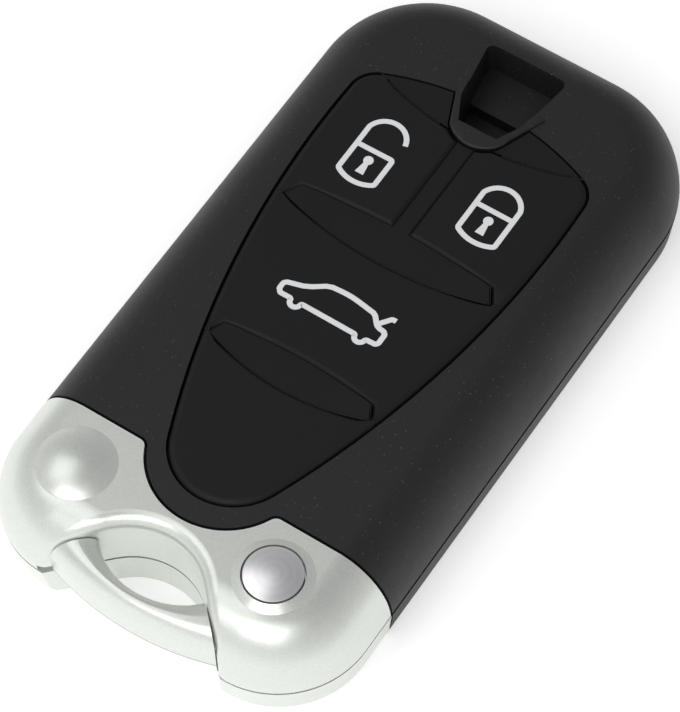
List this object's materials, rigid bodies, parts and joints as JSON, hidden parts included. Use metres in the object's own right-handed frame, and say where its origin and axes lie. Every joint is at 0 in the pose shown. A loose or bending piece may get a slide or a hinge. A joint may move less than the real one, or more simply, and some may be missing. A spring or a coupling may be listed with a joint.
{
  "type": "key fob shell",
  "caption": "Slot-in car key fob shell with a rubber key pad, latch pocket, silver end with a keyring eye, and an emergency key freed by a round steel button.",
  "frame": {"origin": "centre of the footprint on the plane that the back rests on", "axes": "+Z out of the button side, +Y along the case to the end with the latch pocket, +X to the right of the buttons"},
  "size_m": [0.041, 0.0778, 0.0127],
  "materials": {
    "case_plastic": "matte",
    "silver_paint": "satin",
    "pad_rubber": "matte",
    "release_steel": "satin",
    "key_head_paint": "satin",
    "blade_steel": "satin",
    "spring_steel": "gloss",
    "frame_plastic": "matte",
    "board_laminate": "satin",
    "chip_epoxy": "matte",
    "crystal_can": "satin",
    "ferrite": "matte",
    "copper_wire": "satin",
    "cell_can": "satin",
    "switch_plastic": "satin",
    "plunger_plastic": "satin",
    "screw_steel": "satin",
    "symbol_ink": "satin"
  },
  "bodies": {
    "fob": {"front_shell": "case_plastic", "rear_shell": "case_plastic", "front_end_cap": "silver_paint", "rear_end_cap": "silver_paint", "button_pad": "pad_rubber", "blade_guide": "frame_plastic", "inner_frame": "frame_plastic", "latch_leaf": "spring_steel", "release_spring": "spring_steel", "circuit_board": "board_laminate", "control_chip": "chip_epoxy", "clock_crystal": "crystal_can", "antenna_core": "ferrite", "antenna_winding": "copper_wire", "battery_cell": "cell_can", "battery_positive_contact": "spring_steel", "battery_negative_contact": "spring_steel", "unlock_switch": "switch_plastic", "lock_switch": "switch_plastic", "boot_switch": "switch_plastic", "cap_screws": "screw_steel"},
    "unlock_key": {"unlock_button": "pad_rubber", "unlock_plunger": "plunger_plastic"},
    "lock_key": {"lock_button": "pad_rubber", "lock_plunger": "plunger_plastic"},
    "boot_key": {"boot_button": "pad_rubber", "boot_plunger": "plunger_plastic"},
    "release": {"release_button": "release_steel"},
    "emergency_key": {"key_bow": "key_head_paint", "key_blade": "blade_steel", "bow_pin": "screw_steel"}
  },
  "joints": [
    {"name": "unlock_press", "type": "slide", "parent": "fob", "child": "unlock_key", "axis": [0, 0, -1], "range_m": [0, 0.0003], "stiffness_N_per_m": 6000, "springref_m": -0.00008},
    {"name": "lock_press", "type": "slide", "parent": "fob", "child": "lock_key", "axis": [0, 0, -1], "range_m": [0, 0.0003], "stiffness_N_per_m": 6000, "springref_m": -0.00008},
    {"name": "boot_press", "type": "slide", "parent": "fob", "child": "boot_key", "axis": [0, 0, -1], "range_m": [0, 0.0003], "stiffness_N_per_m": 6000, "springref_m": -0.00008},
    {"name": "release_press", "type": "slide", "parent": "fob", "child": "release", "axis": [0, 0, -1], "range_m": [0, 0.0012], "stiffness_N_per_m": 900, "springref_m": -0.0005, "deforming": ["release_spring", "latch_leaf"]},
    {"name": "key_slide", "type": "slide", "parent": "fob", "child": "emergency_key", "axis": [0, -1, 0], "range_m": [0, 0.048]}
  ]
}
